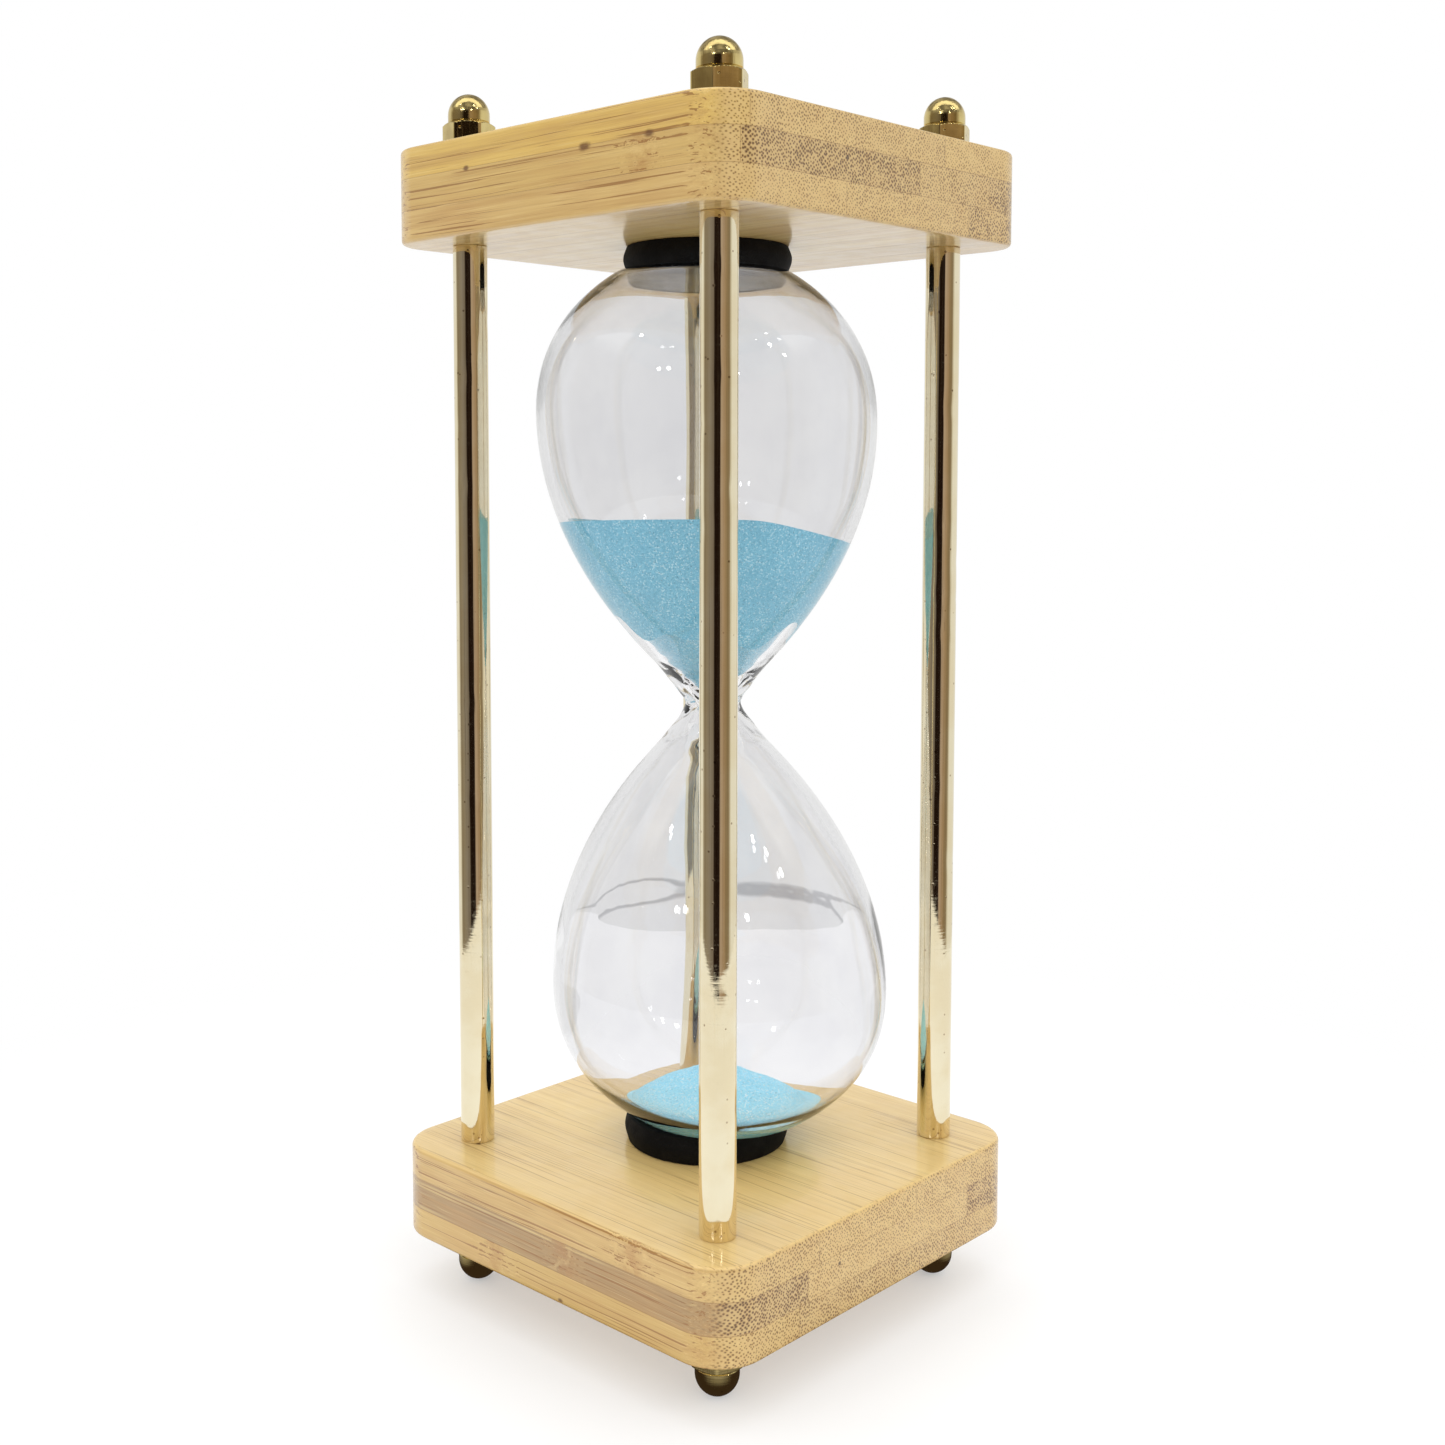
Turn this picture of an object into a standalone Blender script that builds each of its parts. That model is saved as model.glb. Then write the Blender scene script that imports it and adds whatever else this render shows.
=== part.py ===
"""Hourglass: two bamboo plates held apart by four gold columns, with a blown sand glass between
two foam pads.

The origin is under the centre of the plates, on the surface that the lower nuts stand on. +Z is up,
+X runs along the bamboo's grain. Lengths are in metres.
"""
import math

import bmesh
import bpy
from mathutils import Matrix, Vector
from mathutils.geometry import interpolate_bezier

# Clear gap between neighbouring pieces that rest on each other.
SEAT = 0.0003

# Bamboo plates.
PLATE_SIDE = 0.080
PLATE_THICKNESS = 0.016
PLATE_CORNER_RADIUS = 0.0085
PLATE_EDGE_ROUND = 0.0006
PLATE_SPACING = 0.159
STUD_HOLE_RADIUS = 0.0027

# Columns: a thin plated tube over an M5 threaded stud, drawn at the root of its thread.
COLUMN_OFFSET = 0.0292
COLUMN_RADIUS = 0.0030
COLUMN_BORE_RADIUS = 0.0025
STUD_RADIUS = 0.0021
STUD_ENGAGEMENT = 0.0057
STUD_CHAMFER = 0.0005

# M5 acorn nuts, 8 mm across flats.
NUT_HEIGHT = 0.0096
NUT_HEX_HEIGHT = 0.0043
NUT_ACROSS_FLATS = 0.0080
NUT_DOME_RADIUS = 0.0036
NUT_DOME_STRAIGHT = 0.0009
NUT_DOME_OVERLAP = 0.0006
NUT_CHAMFER_SLOPE = math.tan(math.radians(30))
NUT_BORE_RADIUS = 0.0025
NUT_BORE_DEPTH = 0.0069

# Foam pads between the glass and the plates.
PAD_RADIUS = 0.0150
PAD_FACE_RADIUS = 0.0145
TOP_PAD_THICKNESS = 0.0038
BOTTOM_PAD_THICKNESS = 0.0044

# Blown glass. Heights of its outline are measured from the neck towards either end.
GLASS_WALL = 0.0018
BULB_RADIUS = 0.02985
BULB_WIDEST_HEIGHT = 0.0504
GLASS_END_RADIUS = 0.0151
NECK_RADIUS = 0.0049
NECK_BORE_RADIUS = 0.0011
NECK_DROP = 0.0005
FILL_HOLE_RADIUS = 0.0030
# The glass stands slightly askew between the pads, along the plates' diagonal.
GLASS_TOP_OFFSET = -0.00075
GLASS_FOOT_OFFSET = 0.0029

# Stopper in the fill hole.
STOPPER_RADIUS = 0.00265
STOPPER_TIP_RADIUS = 0.0024

# Sand: heights are measured from the middle of the space between the plates.
UPPER_SAND_LEVEL = 0.0317
UPPER_SAND_TIP = 0.0030
UPPER_SAND_SLIP_START = 0.0050
UPPER_SAND_SLIP_ANGLE = math.radians(11)
LOWER_SAND_PEAK = -0.0648
LOWER_SAND_RIM = -0.0708

# Roundness of the turned pieces.
GLASS_STEPS = 32
COLUMN_STEPS = 24
NUT_STEPS = 20
PAD_STEPS = 32
DOME_RINGS = 5
PAD_RINGS = 4
SHOULDER_POINTS = 6
SIDE_POINTS = 7
NECK_POINTS = 4

# Heights of the stack.
BASE_Z = NUT_HEIGHT + SEAT
BASE_TOP_Z = BASE_Z + PLATE_THICKNESS
CAP_Z = BASE_TOP_Z + PLATE_SPACING
CAP_TOP_Z = CAP_Z + PLATE_THICKNESS
MIDDLE_Z = BASE_TOP_Z + PLATE_SPACING / 2
GLASS_TOP = PLATE_SPACING / 2 - TOP_PAD_THICKNESS - 2 * SEAT
GLASS_FOOT = -PLATE_SPACING / 2 + BOTTOM_PAD_THICKNESS + 2 * SEAT

# Corner of each column, and how far its upper and lower nut are turned, in degrees.
COLUMNS = {
    "front_right": ((1, -1), -1, 11),
    "front_left": ((-1, -1), -13, 34),
    "back_right": ((1, 1), -7, -20),
    "back_left": ((-1, 1), 20, 5),
}


def clear_scene():
    for old in list(bpy.data.objects):
        bpy.data.objects.remove(old, do_unlink=True)


def new_collection(name):
    group = bpy.data.collections.new(name)
    bpy.context.scene.collection.children.link(group)
    return group


def new_material(name, colour, roughness, metallic=0.0, transmission=0.0):
    material = bpy.data.materials.new(name)
    material.use_nodes = True
    shader = material.node_tree.nodes["Principled BSDF"]
    shader.inputs["Base Color"].default_value = (*colour, 1.0)
    shader.inputs["Roughness"].default_value = roughness
    shader.inputs["Metallic"].default_value = metallic
    shader.inputs["Transmission Weight"].default_value = transmission
    return material


def new_object(name, mesh, group, material=None):
    piece = bpy.data.objects.new(name, mesh)
    group.objects.link(piece)
    if material and not mesh.materials:
        mesh.materials.append(material)
    return piece


def hide_cutter(piece):
    piece.hide_render = True
    piece.display_type = "WIRE"
    return piece


def shade(mesh, angle_degrees):
    mesh.shade_smooth()
    mesh.set_sharp_from_angle(angle=math.radians(angle_degrees))


def finished_mesh(piece):
    """The piece's mesh with its modifiers applied."""
    depsgraph = bpy.context.evaluated_depsgraph_get()
    return bpy.data.meshes.new_from_object(piece.evaluated_get(depsgraph))


def turned(name, outline, steps, group, material=None, closed=False):
    """A turned piece: outline holds (radius, height) points, down the outer side from the top."""
    form = bmesh.new()
    points = [form.verts.new((radius, 0.0, height)) for radius, height in outline]
    for start, end in zip(points, points[1:]):
        form.edges.new((start, end))
    if closed:
        form.edges.new((points[-1], points[0]))
    mesh = bpy.data.meshes.new(name)
    form.to_mesh(mesh)
    form.free()
    piece = new_object(name, mesh, group, material)
    screw = piece.modifiers.new("Turn", "SCREW")
    screw.steps = steps
    screw.render_steps = steps
    screw.use_merge_vertices = True
    screw.merge_threshold = 0.00001
    screw.use_smooth_shade = True
    return piece


def combine(piece, tool, operation):
    boolean = piece.modifiers.new(operation.title(), "BOOLEAN")
    boolean.operation = operation
    boolean.solver = "EXACT"
    boolean.object = tool


def smooth_curve(start, start_handle, end_handle, end, count):
    """Points of one Bezier span, without its last point."""
    knots = (start, start_handle, end_handle, end)
    span = interpolate_bezier(*[Vector((radius, 0.0, height)) for radius, height in knots], count + 1)
    return [(point.x, point.z) for point in span[:-1]]


def make_plate(name, bottom_z, group, cutters, material):
    """Square laminated board with rounded corners and a hole for each stud."""
    form = bmesh.new()
    bmesh.ops.create_cube(form, size=1.0)
    bmesh.ops.scale(form, verts=form.verts, vec=(PLATE_SIDE, PLATE_SIDE, PLATE_THICKNESS))
    upright = [edge for edge in form.edges if abs(edge.verts[0].co.z - edge.verts[1].co.z) > SEAT]
    bmesh.ops.bevel(form, geom=upright, offset=PLATE_CORNER_RADIUS, offset_type="OFFSET",
                    segments=8, profile=0.5, affect="EDGES")
    mesh = bpy.data.meshes.new(name)
    form.to_mesh(mesh)
    form.free()
    shade(mesh, 35)
    plate = new_object(name, mesh, group, material)
    plate.location.z = bottom_z + PLATE_THICKNESS / 2
    rim = plate.modifiers.new("Rim", "BEVEL")
    rim.width = PLATE_EDGE_ROUND
    rim.segments = 2
    rim.limit_method = "ANGLE"
    rim.angle_limit = math.radians(40)
    for corner, (side, _, _) in COLUMNS.items():
        bpy.ops.mesh.primitive_cylinder_add(vertices=COLUMN_STEPS, radius=STUD_HOLE_RADIUS,
                                            depth=2 * PLATE_THICKNESS)
        drill = hide_cutter(bpy.context.object)
        drill.name = f"{name}_drill_{corner}"
        drill.location = (side[0] * COLUMN_OFFSET, side[1] * COLUMN_OFFSET, plate.location.z)
        for owner in list(drill.users_collection):
            owner.objects.unlink(drill)
        cutters.objects.link(drill)
        combine(plate, drill, "DIFFERENCE")


def make_columns(group, tube_material, stud_material):
    """Plated spacer tubes between the plates, with a stud through each."""
    half = PLATE_SPACING / 2 - SEAT
    soft = 0.0002
    tube_outline = [
        (COLUMN_RADIUS - soft, half), (COLUMN_RADIUS, half - soft),
        (COLUMN_RADIUS, -half + soft), (COLUMN_RADIUS - soft, -half),
        (COLUMN_BORE_RADIUS, -half), (COLUMN_BORE_RADIUS, half),
    ]
    reach = PLATE_SPACING / 2 + PLATE_THICKNESS + SEAT + STUD_ENGAGEMENT
    stud_outline = [
        (0.0, reach), (STUD_RADIUS - STUD_CHAMFER, reach), (STUD_RADIUS, reach - STUD_CHAMFER),
        (STUD_RADIUS, -reach + STUD_CHAMFER), (STUD_RADIUS - STUD_CHAMFER, -reach), (0.0, -reach),
    ]
    for corner, (side, _, _) in COLUMNS.items():
        place = (side[0] * COLUMN_OFFSET, side[1] * COLUMN_OFFSET, MIDDLE_Z)
        tube = turned(f"column_tube_{corner}", tube_outline, COLUMN_STEPS, group, tube_material,
                      closed=True)
        tube.location = place
        stud = turned(f"threaded_stud_{corner}", stud_outline, COLUMN_STEPS // 2, group,
                      stud_material)
        stud.location = place


def acorn_nut_mesh(cutters, material):
    """Nut with its seat at z = 0 and its dome up: chamfered hexagon, straight neck, round dome."""
    corner_radius = NUT_ACROSS_FLATS / 2 / math.cos(math.radians(30))
    form = bmesh.new()
    bmesh.ops.create_cone(form, cap_ends=True, segments=6, radius1=corner_radius,
                          radius2=corner_radius, depth=NUT_HEX_HEIGHT)
    bmesh.ops.rotate(form, verts=form.verts, matrix=Matrix.Rotation(math.radians(90), 3, "Z"))
    bmesh.ops.translate(form, verts=form.verts, vec=(0.0, 0.0, NUT_HEX_HEIGHT / 2))
    mesh = bpy.data.meshes.new("acorn_nut_hexagon")
    form.to_mesh(mesh)
    form.free()
    hexagon = hide_cutter(new_object("acorn_nut_hexagon", mesh, cutters, material))

    wide = corner_radius + 0.0002
    top_radius = NUT_ACROSS_FLATS / 2 - 0.0002
    seat_radius = NUT_ACROSS_FLATS / 2
    top_drop = (wide - top_radius) * NUT_CHAMFER_SLOPE
    seat_rise = (wide - seat_radius) * NUT_CHAMFER_SLOPE
    chamfer = turned("acorn_nut_chamfer", [
        (0.0, NUT_HEX_HEIGHT + SEAT), (top_radius - SEAT / NUT_CHAMFER_SLOPE, NUT_HEX_HEIGHT + SEAT),
        (wide, NUT_HEX_HEIGHT - top_drop), (wide, seat_rise),
        (seat_radius - SEAT / NUT_CHAMFER_SLOPE, -SEAT), (0.0, -SEAT),
    ], NUT_STEPS, cutters)
    hide_cutter(chamfer)

    shoulder = NUT_HEX_HEIGHT + NUT_DOME_STRAIGHT
    rise = NUT_HEIGHT - shoulder
    dome_outline = []
    for ring in range(DOME_RINGS + 1):
        angle = math.radians(90) * ring / DOME_RINGS
        dome_outline.append((NUT_DOME_RADIUS * math.sin(angle), shoulder + rise * math.cos(angle)))
    dome_outline += [(NUT_DOME_RADIUS, NUT_HEX_HEIGHT - NUT_DOME_OVERLAP),
                     (0.0, NUT_HEX_HEIGHT - NUT_DOME_OVERLAP)]
    dome = hide_cutter(turned("acorn_nut_dome", dome_outline, NUT_STEPS, cutters))

    bore = turned("acorn_nut_bore", [
        (0.0, NUT_BORE_DEPTH), (NUT_BORE_RADIUS, NUT_BORE_DEPTH - NUT_BORE_RADIUS / 3),
        (NUT_BORE_RADIUS, -NUT_BORE_DEPTH), (0.0, -NUT_BORE_DEPTH),
    ], COLUMN_STEPS // 2, cutters)
    hide_cutter(bore)

    combine(hexagon, chamfer, "INTERSECT")
    combine(hexagon, dome, "UNION")
    combine(hexagon, bore, "DIFFERENCE")
    mesh = finished_mesh(hexagon)
    mesh.name = "acorn_nut"
    shade(mesh, 28)
    return mesh


def make_nuts(group, cutters, material):
    mesh = acorn_nut_mesh(cutters, material)
    for corner, (side, upper_turn, lower_turn) in COLUMNS.items():
        x, y = side[0] * COLUMN_OFFSET, side[1] * COLUMN_OFFSET
        upper = new_object(f"acorn_nut_top_{corner}", mesh, group)
        upper.location = (x, y, CAP_TOP_Z + SEAT)
        upper.rotation_euler.z = math.radians(upper_turn)
        lower = new_object(f"acorn_nut_bottom_{corner}", mesh, group)
        lower.location = (x, y, BASE_Z - SEAT)
        lower.rotation_euler = (math.pi, 0.0, math.radians(lower_turn))


def make_pad(name, bottom_z, thickness, group, material):
    """Foam disc whose side bulges a little under the load."""
    outline = [(0.0, thickness)]
    for ring in range(PAD_RINGS + 1):
        height = thickness * (1 - ring / PAD_RINGS)
        bulge = 1 - (2 * height / thickness - 1) ** 2
        outline.append((PAD_FACE_RADIUS + (PAD_RADIUS - PAD_FACE_RADIUS) * bulge, height))
    outline.append((0.0, 0.0))
    pad = turned(name, outline, PAD_STEPS, group, material)
    pad.location.z = bottom_z
    return pad


def bulb_outline(end_height, wall, neck_radius):
    """(radius, height) points from the flat end to the neck, wall inside the outer surface.

    Three spans: the rounded shoulder, the tapering side, and the tight turn into the neck.
    """
    end = (GLASS_END_RADIUS - 0.6 * wall, end_height - wall)
    widest = (BULB_RADIUS - wall, BULB_WIDEST_HEIGHT)
    foot = (0.0101 - 1.5 * wall, 0.0073 + 0.35 * wall)
    lean = math.radians(43.5)
    side = (math.sin(lean), math.cos(lean))
    neck_rise = 0.0010 + 0.5 * wall
    points = smooth_curve(end, (end[0] + 0.0086, end[1] - 0.0051),
                          (widest[0], widest[1] + 0.0120), widest, SHOULDER_POINTS)
    points += smooth_curve(widest, (widest[0], widest[1] - 0.0213),
                           (foot[0] + 0.0084 * side[0], foot[1] + 0.0084 * side[1]), foot,
                           SIDE_POINTS)
    points += smooth_curve(foot, (foot[0] - 0.0022 * side[0], foot[1] - 0.0022 * side[1]),
                           (neck_radius, neck_rise), (neck_radius, 0.0), NECK_POINTS)
    return points


def glass_surface(wall, neck_radius):
    """(radius, height) points of the whole glass from its top to its foot, about the middle."""
    drop = -NECK_DROP
    upper = bulb_outline(GLASS_TOP - drop, wall, neck_radius)
    lower = bulb_outline(drop - GLASS_FOOT, wall, neck_radius)
    points = [(radius, drop + height) for radius, height in upper]
    points.append((neck_radius, drop))
    points += [(radius, drop - height) for radius, height in reversed(lower)]
    return points


def slice_between(points, high, low):
    """The stretch of a falling outline between two heights, cut exactly at both."""
    kept = []
    for (r0, z0), (r1, z1) in zip(points, points[1:]):
        for level in (high, low):
            if z0 > level >= z1 and z0 > z1:
                share = (z0 - level) / (z0 - z1)
                kept.append((r0 + share * (r1 - r0), level))
        if low < z1 < high:
            kept.append((r1, z1))
    return sorted(kept, key=lambda point: -point[1])


def lean_matrix():
    """Shear that moves the glass's ends to where they stand, and keeps them level."""
    slope = (GLASS_TOP_OFFSET - GLASS_FOOT_OFFSET) / (GLASS_TOP - GLASS_FOOT) / math.sqrt(2)
    shift = GLASS_TOP_OFFSET / math.sqrt(2) - slope * GLASS_TOP
    return Matrix.Translation((shift, shift, 0.0)) @ Matrix.Shear("XY", 4, (slope, slope))


def stand_askew(piece):
    """Apply the modifiers and the glass's lean, and place the piece about the middle height."""
    mesh = finished_mesh(piece)
    mesh.transform(lean_matrix())
    shade(mesh, 50)
    piece.modifiers.clear()
    piece.data = mesh
    piece.location.z = MIDDLE_Z


def make_glass(group, glass_material, stopper_material):
    outer = glass_surface(0.0, NECK_RADIUS)
    inner = glass_surface(GLASS_WALL, NECK_BORE_RADIUS)
    outline = [(0.0, GLASS_TOP)] + outer
    outline += [(FILL_HOLE_RADIUS, GLASS_FOOT), (FILL_HOLE_RADIUS, GLASS_FOOT + GLASS_WALL)]
    outline += list(reversed(inner)) + [(0.0, GLASS_TOP - GLASS_WALL)]
    stand_askew(turned("glass_bulbs", outline, GLASS_STEPS, group, glass_material))

    chamfer = 0.0002
    stopper = [
        (0.0, GLASS_FOOT + GLASS_WALL), (STOPPER_TIP_RADIUS - chamfer, GLASS_FOOT + GLASS_WALL),
        (STOPPER_TIP_RADIUS, GLASS_FOOT + GLASS_WALL - chamfer),
        (STOPPER_RADIUS, GLASS_FOOT + chamfer), (STOPPER_RADIUS - chamfer, GLASS_FOOT),
        (0.0, GLASS_FOOT),
    ]
    stand_askew(turned("fill_stopper", stopper, COLUMN_STEPS, group, stopper_material))


def make_sand(group, cutters, material):
    """Sand left in the upper bulb, slipped down on one side, and the pile in the lower bulb."""
    wall = glass_surface(GLASS_WALL + 1.5 * SEAT, NECK_BORE_RADIUS - SEAT)
    body = slice_between(wall, UPPER_SAND_LEVEL, UPPER_SAND_TIP)
    outline = [(0.0, UPPER_SAND_LEVEL)] + body + [(0.0, UPPER_SAND_TIP)]
    upper = turned("upper_sand", outline, GLASS_STEPS, group, material)

    size = 4 * BULB_RADIUS
    bpy.ops.mesh.primitive_cube_add(size=size)
    slip = hide_cutter(bpy.context.object)
    slip.name = "upper_sand_slip"
    for owner in list(slip.users_collection):
        owner.objects.unlink(slip)
    cutters.objects.link(slip)
    slip.matrix_world = (Matrix.Rotation(math.radians(45), 4, "Z")
                         @ Matrix.Translation((UPPER_SAND_SLIP_START, 0.0, UPPER_SAND_LEVEL))
                         @ Matrix.Rotation(UPPER_SAND_SLIP_ANGLE, 4, "Y")
                         @ Matrix.Translation((0.0, 0.0, size / 2)))
    combine(upper, slip, "DIFFERENCE")
    bpy.context.view_layer.update()
    stand_askew(upper)

    floor = GLASS_FOOT + GLASS_WALL + SEAT
    body = slice_between(wall, LOWER_SAND_RIM, floor + SEAT)
    rim = body[0][0]
    pile = []
    for step in range(5):
        share = step / 5
        height = LOWER_SAND_PEAK + (LOWER_SAND_RIM - LOWER_SAND_PEAK) * share ** 1.3
        pile.append((rim * share, height))
    outline = pile + body + [(body[-1][0] - SEAT, floor), (0.0, floor)]
    stand_askew(turned("lower_sand", outline, GLASS_STEPS, group, material))


def main():
    clear_scene()
    group = new_collection("hourglass")
    cutters = new_collection("cutters")
    bamboo = new_material("bamboo", (0.66, 0.44, 0.19), 0.35)
    gold = new_material("column_gold", (0.78, 0.66, 0.40), 0.12, metallic=1.0)
    brass = new_material("nut_brass", (0.62, 0.49, 0.22), 0.18, metallic=1.0)
    steel = new_material("stud_steel", (0.56, 0.56, 0.55), 0.35, metallic=1.0)
    foam = new_material("black_foam", (0.006, 0.006, 0.007), 0.9)
    glass = new_material("clear_glass", (0.97, 0.98, 0.98), 0.02, transmission=1.0)
    rubber = new_material("stopper_rubber", (0.72, 0.72, 0.70), 0.6)
    sand = new_material("blue_sand", (0.30, 0.58, 0.72), 0.85)

    make_plate("bottom_plate", BASE_Z, group, cutters, bamboo)
    make_plate("top_plate", CAP_Z, group, cutters, bamboo)
    make_columns(group, gold, steel)
    make_nuts(group, cutters, brass)
    make_pad("bottom_pad", BASE_TOP_Z + SEAT, BOTTOM_PAD_THICKNESS, group, foam)
    make_pad("top_pad", CAP_Z - SEAT - TOP_PAD_THICKNESS, TOP_PAD_THICKNESS, group, foam)
    make_glass(group, glass, rubber)
    make_sand(group, cutters, sand)


main()
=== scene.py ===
import math
import random

import bpy
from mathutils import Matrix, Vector, noise


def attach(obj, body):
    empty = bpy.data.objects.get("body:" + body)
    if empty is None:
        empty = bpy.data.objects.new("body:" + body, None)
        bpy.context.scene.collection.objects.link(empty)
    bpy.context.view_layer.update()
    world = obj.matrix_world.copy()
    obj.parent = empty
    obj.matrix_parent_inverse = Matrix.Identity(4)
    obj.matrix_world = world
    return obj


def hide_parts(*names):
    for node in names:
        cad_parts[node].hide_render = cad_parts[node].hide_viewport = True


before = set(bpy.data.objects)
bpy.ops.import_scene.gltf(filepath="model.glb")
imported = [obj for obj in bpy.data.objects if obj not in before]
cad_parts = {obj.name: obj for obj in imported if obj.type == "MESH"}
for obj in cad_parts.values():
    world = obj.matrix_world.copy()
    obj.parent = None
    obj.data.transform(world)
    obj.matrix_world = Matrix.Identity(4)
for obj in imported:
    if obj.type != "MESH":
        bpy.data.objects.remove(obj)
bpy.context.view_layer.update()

# Main dimensions of the timer, in metres.
PLATE_HALF = 0.040
PLATE_THICKNESS = 0.016
PLATE_CORNER = 0.0085
PLATE_EDGE = 0.0007
PLATE_SPACING = 0.159
BASE_Z = 0.0099
BASE_TOP_Z = BASE_Z + PLATE_THICKNESS
CAP_Z = BASE_TOP_Z + PLATE_SPACING
CAP_TOP_Z = CAP_Z + PLATE_THICKNESS
MIDDLE_Z = (BASE_TOP_Z + CAP_Z) / 2
SEAT = 0.0003

COLUMN_OFFSET = 0.0292
COLUMN_RADIUS = 0.0030
COLUMN_BORE = 0.0025
STUD_RADIUS = 0.0021
STUD_REACH = PLATE_SPACING / 2 + PLATE_THICKNESS + SEAT + 0.0057
THREAD_PITCH = 0.0007
THREAD_DEPTH = 0.0003

NUT_HEIGHT = 0.0096
NUT_HEX_HEIGHT = 0.0045
NUT_FLATS = 0.0080
NUT_DOME_RADIUS = 0.0036
NUT_SHOULDER = NUT_HEX_HEIGHT + 0.0014

PAD_RADIUS = 0.0150
TOP_PAD = 0.0038
BOTTOM_PAD = 0.0044

GLASS_WALL = 0.0018
BULB_RADIUS = 0.02985
BULB_WIDEST_HEIGHT = 0.0504
GLASS_END_RADIUS = 0.0151
NECK_RADIUS = 0.0049
NECK_BORE_RADIUS = 0.0017
NECK_DROP = 0.0005
FILL_HOLE_RADIUS = 0.0030
GLASS_TOP = PLATE_SPACING / 2 - TOP_PAD - 2 * SEAT
GLASS_FOOT = -PLATE_SPACING / 2 + BOTTOM_PAD + 2 * SEAT
GLASS_TOP_OFFSET = -0.00075
GLASS_FOOT_OFFSET = 0.0029

END_THINNING = 0.0011
SHOULDER_THINNING = 0.0009
SIDE_THINNING = 0.0004

SAND_PRESS = 0.00006
SAND_CLEARANCE = 0.00025
SAND_CLEAR_BELOW = 0.0130
UPPER_SAND_LEVEL = 0.0317
UPPER_SAND_TIP = 0.0030
SLIP_START = 0.0078
SLIP_ANGLE = math.radians(13)
SAND_BACKWARD_TILT = math.radians(2.2)
LOWER_SAND_PEAK = -0.0640
LOWER_SAND_RIM = -0.0716
PILE_SPREAD = 0.0007
PILE_RADIUS = 0.0157
PILE_OFFSET = -0.0006

# corner: (side along X and Y, upper nut's turn, lower nut's turn)
COLUMNS = {
    "front_right": ((1, -1), -1, 11),
    "front_left": ((-1, -1), -13, 34),
    "back_right": ((1, 1), -7, -20),
    "back_left": ((-1, 1), 20, 5),
}


# ---------------------------------------------------------------- meshes

def add_object(name, vertices, faces, material, smooth_angle=35.0, location=(0.0, 0.0, 0.0)):
    mesh = bpy.data.meshes.new(name)
    mesh.from_pydata([tuple(v) for v in vertices], [], faces)
    mesh.validate()
    mesh.shade_smooth()
    mesh.set_sharp_from_angle(angle=math.radians(smooth_angle))
    piece = bpy.data.objects.new(name, mesh)
    piece.location = location
    bpy.context.scene.collection.objects.link(piece)
    if material is not None:
        mesh.materials.append(material)
    return piece


def around(radius, angle, shift=0.0):
    """X and Y of a point at an angle about an axis that stands shift off the middle, on both."""
    return radius * math.cos(angle) + shift, radius * math.sin(angle) + shift


def skin(rows):
    """Faces between rings of vertex numbers that run downwards. A pole is one number repeated."""
    faces = []
    for upper, lower in zip(rows, rows[1:]):
        for step in range(len(upper)):
            after = (step + 1) % len(upper)
            face = [upper[step], lower[step], lower[after], upper[after]]
            face = [v for i, v in enumerate(face) if v != face[i - 1]]
            if len(face) > 2:
                faces.append(face)
    return faces


def lathe(outline, steps, closed=False, shape=None):
    """Vertices and faces of an outline of (radius, height) points turned about Z.

    An outline that runs downwards on the outside faces outwards. A radius of 0 makes a pole.
    shape(radius, height, angle) may move a point: it returns (x, y, z).
    """
    vertices, rows = [], []
    for radius, height in outline:
        if radius <= 1e-9:
            rows.append([len(vertices)] * steps)
            vertices.append((0.0, 0.0, height) if shape is None else shape(0.0, height, 0.0))
            continue
        row = []
        for step in range(steps):
            angle = 2 * math.pi * step / steps
            row.append(len(vertices))
            if shape is None:
                vertices.append((*around(radius, angle), height))
            else:
                vertices.append(shape(radius, height, angle))
        rows.append(row)
    return vertices, skin(rows + rows[:1] if closed else rows)


def curve_points(start, first, second, end, count):
    """Points along a Bezier span, without its end."""
    points = []
    for step in range(count):
        t = step / count
        s = 1 - t
        points.append(tuple(
            s ** 3 * a + 3 * s * s * t * b + 3 * s * t * t * c + t ** 3 * d
            for a, b, c, d in zip(start, first, second, end)
        ))
    return points


def board_outline(inset, corner_steps=14):
    """Points round the square board, moved inwards by inset."""
    radius = PLATE_CORNER - inset
    centre = PLATE_HALF - PLATE_CORNER
    points = []
    for quarter, (sx, sy) in enumerate(((1, 1), (-1, 1), (-1, -1), (1, -1))):
        for step in range(corner_steps + 1):
            angle = math.radians(90 * quarter + 90 * step / corner_steps)
            points.append((sx * centre + radius * math.cos(angle),
                           sy * centre + radius * math.sin(angle)))
    return points


def make_board(name, bottom_z, material):
    """Square board with rounded corners and softly rounded edges, its middle at the origin."""
    half = PLATE_THICKNESS / 2
    rings = [(PLATE_EDGE + 0.0012, half), (PLATE_EDGE, half)]
    for step in range(1, 7):
        angle = math.radians(90 * step / 6)
        rings.append((PLATE_EDGE * (1 - math.sin(angle)),
                      half - PLATE_EDGE * (1 - math.cos(angle))))
    rings.append((0.0, half - PLATE_EDGE - 0.0006))
    rings += [(inset, -height) for inset, height in reversed(rings)]
    vertices, rows = [], []
    for inset, height in rings:
        row = []
        for x, y in board_outline(inset):
            row.append(len(vertices))
            vertices.append((x, y, height))
        rows.append(row)
    faces = [rows[0], list(reversed(rows[-1]))] + skin(rows)
    return add_object(name, vertices, faces, material, 40,
                      (0.0, 0.0, bottom_z + PLATE_THICKNESS / 2))


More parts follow.
